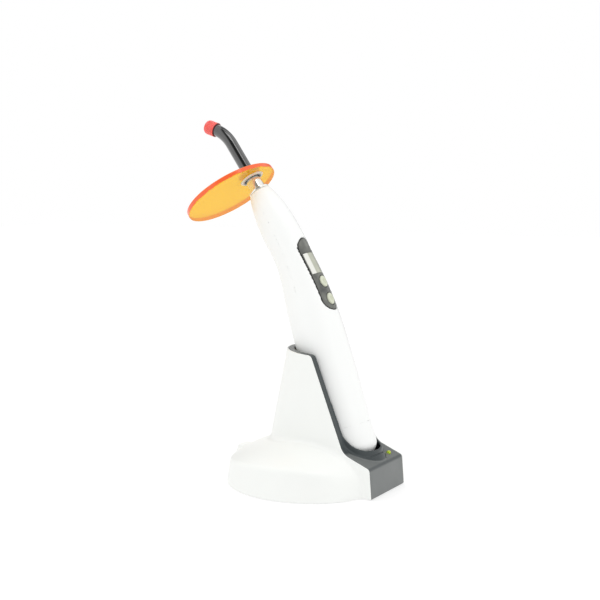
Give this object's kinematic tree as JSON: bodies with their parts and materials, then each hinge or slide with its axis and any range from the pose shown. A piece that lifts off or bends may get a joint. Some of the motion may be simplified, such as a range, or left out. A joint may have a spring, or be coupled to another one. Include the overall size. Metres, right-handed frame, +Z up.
{
  "type": "dental curing light",
  "caption": "Cordless dental curing light: curved white handpiece with display, two buttons, bent black light guide and round orange eye shield, standing in a white and grey charging base.",
  "frame": {"origin": "on the table, under the axis of the base's round foot, 5 mm before its centre, at the middle foot pad", "axes": "+Z up; -Y is the front, where the grey front of the base and the buttons of the handpiece face; +X is to the right as seen from the front; X = 0 is the plane of symmetry"},
  "size_m": [0.115, 0.1495, 0.2412],
  "materials": {
    "white_housing": "glossy white moulding",
    "white_handle": "glossy white moulding",
    "grey_insert": "fine satin grey moulding",
    "base_underside": "fine matt moulding",
    "steel_fastener": "plated steel",
    "foot_rubber": "matt rubber",
    "ballast_steel": "zinc-plated steel plate",
    "circuit_board": "solder mask",
    "inlet_black": "moulded",
    "carrier_black": "moulded",
    "gold_contact": "gold-plated",
    "spring_steel": "drawn wire",
    "lamp_green": "translucent yellow-green",
    "cell_wrap": "shrink-wrapped sleeve",
    "panel_grey": "smooth dark grey",
    "window_glass": "clear window over a pale display",
    "display_glass": "pale display glass",
    "button_ivory": "soft-touch ivory",
    "sink_aluminium": "turned",
    "emitter_yellow": "phosphor dome",
    "lens_clear": "polished",
    "neck_chrome": "polished",
    "seal_rubber": "soft rubber",
    "guide_black": "polished black coating",
    "cap_red": "translucent red silicone",
    "shield_orange": "polished orange acrylic",
    "bush_grey": "translucent grey rubber"
  },
  "bodies": {
    "base": {"base_housing": "white_housing", "cradle_insert": "grey_insert", "bottom_cover": "base_underside", "cover_screws": "steel_fastener", "rubber_feet": "foot_rubber", "ballast_plate": "ballast_steel", "charger_board": "circuit_board", "board_screws": "steel_fastener", "power_inlet": "inlet_black", "contact_carrier": "carrier_black", "contact_board": "circuit_board", "pin_spring_left": "spring_steel", "pin_spring_right": "spring_steel", "pin_barrels": "gold_contact", "status_lamp": "lamp_green"},
    "handpiece": {"front_shell": "white_handle", "rear_shell": "white_handle", "shell_screws": "steel_fastener", "end_cap": "white_handle", "charge_pads": "gold_contact", "battery_cell": "cell_wrap", "battery_spring": "spring_steel", "battery_holder": "carrier_black", "plus_contact": "spring_steel", "panel_bezel": "panel_grey", "display_window": "window_glass", "display_module": "display_glass", "main_board": "circuit_board", "tact_switches": "carrier_black", "beeper": "carrier_black", "heat_sink": "sink_aluminium", "led_board": "sink_aluminium", "led_emitter": "emitter_yellow", "focus_lens": "lens_clear", "metal_neck": "neck_chrome"},
    "left_pin": {"charge_pin_left": "gold_contact"},
    "right_pin": {"charge_pin_right": "gold_contact"},
    "upper_key": {"upper_button": "button_ivory"},
    "lower_key": {"lower_button": "button_ivory"},
    "seal": {"sealing_ring": "seal_rubber"},
    "guide": {"light_guide": "guide_black", "guide_sleeve": "neck_chrome"},
    "shield": {"eye_shield": "shield_orange", "shield_bush": "bush_grey"},
    "cap": {"tip_cap": "cap_red"}
  },
  "joints": [
    {"name": "handpiece_lift", "type": "slide", "parent": "base", "child": "handpiece", "axis": [0, 0.3173, 0.9483], "range_m": [0, 0.09]},
    {"name": "left_pin_press", "type": "slide", "parent": "base", "child": "left_pin", "axis": [0, -0.3173, -0.9483], "range_m": [0, 0.0012], "stiffness_N_per_m": 250, "springref_m": -0.002, "deforming": ["pin_spring_left"]},
    {"name": "right_pin_press", "type": "slide", "parent": "base", "child": "right_pin", "axis": [0, -0.3173, -0.9483], "range_m": [0, 0.0012], "stiffness_N_per_m": 250, "springref_m": -0.002, "deforming": ["pin_spring_right"]},
    {"name": "upper_key_press", "type": "slide", "parent": "handpiece", "child": "upper_key", "axis": [0, 0.8771, -0.4802], "range_m": [0, 0.0006], "stiffness_N_per_m": 400, "springref_m": -0.001},
    {"name": "lower_key_press", "type": "slide", "parent": "handpiece", "child": "lower_key", "axis": [0, 0.8771, -0.4802], "range_m": [0, 0.0006], "stiffness_N_per_m": 400, "springref_m": -0.001},
    {"name": "guide_pull", "type": "slide", "parent": "handpiece", "child": "seal", "axis": [0, 0.5721, 0.8202], "range_m": [0, 0.03]},
    {"name": "guide_turn", "type": "hinge", "parent": "seal", "child": "guide", "pos_m": [0, 0.04675, 0.19244], "axis": [0, 0.5721, 0.8202], "continuous": true},
    {"name": "shield_turn", "type": "hinge", "parent": "guide", "child": "shield", "pos_m": [0, 0.04675, 0.19244], "axis": [0, 0.5721, 0.8202], "continuous": true},
    {"name": "cap_pull", "type": "slide", "parent": "guide", "child": "cap", "axis": [0, 0.9483, 0.3173], "range_m": [0, 0.012]}
  ]
}
